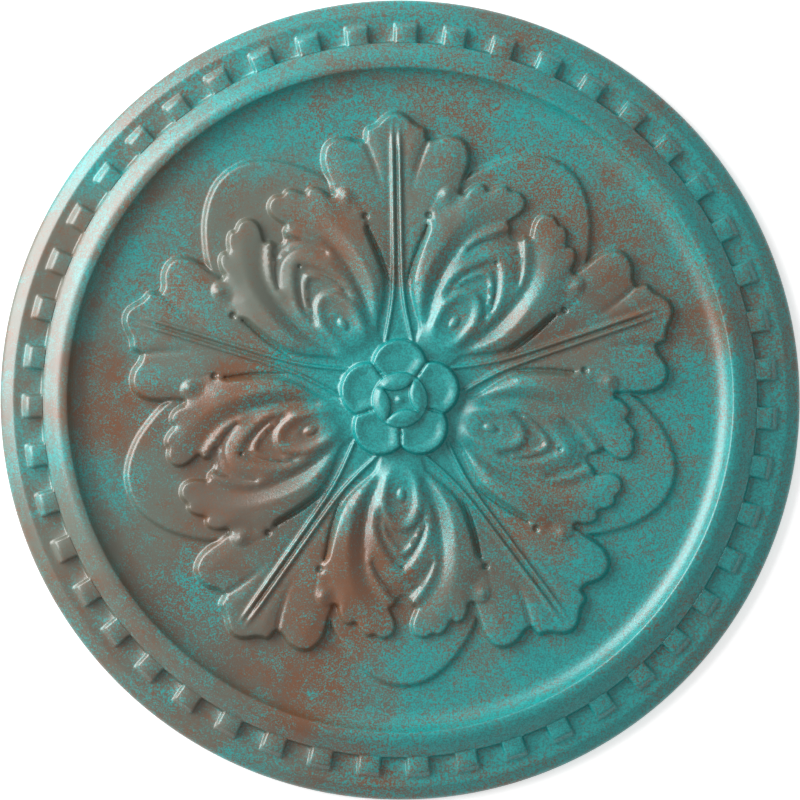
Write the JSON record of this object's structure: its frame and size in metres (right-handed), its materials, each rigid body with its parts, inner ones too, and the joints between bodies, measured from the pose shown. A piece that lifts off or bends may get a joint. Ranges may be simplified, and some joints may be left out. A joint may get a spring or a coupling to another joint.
{
  "type": "ceiling medallion",
  "caption": "Round moulded ceiling medallion with a dentil rim, a cove, a raised ring of acanthus leaves and fans, and a petalled rosette at the centre.",
  "frame": {"origin": "centre of the flat back, with the carved face up", "axes": "+Z out of the carved face, +Y towards the top of the face as it is hung, along the axis of one fan"},
  "size_m": [0.4569, 0.457, 0.0285],
  "materials": {
    "painted_moulding": "satin verdigris and copper paint effect over moulded polyurethane, fine orange-peel texture"
  },
  "bodies": {
    "root": {"medallion": "painted_moulding"}
  },
  "joints": []
}
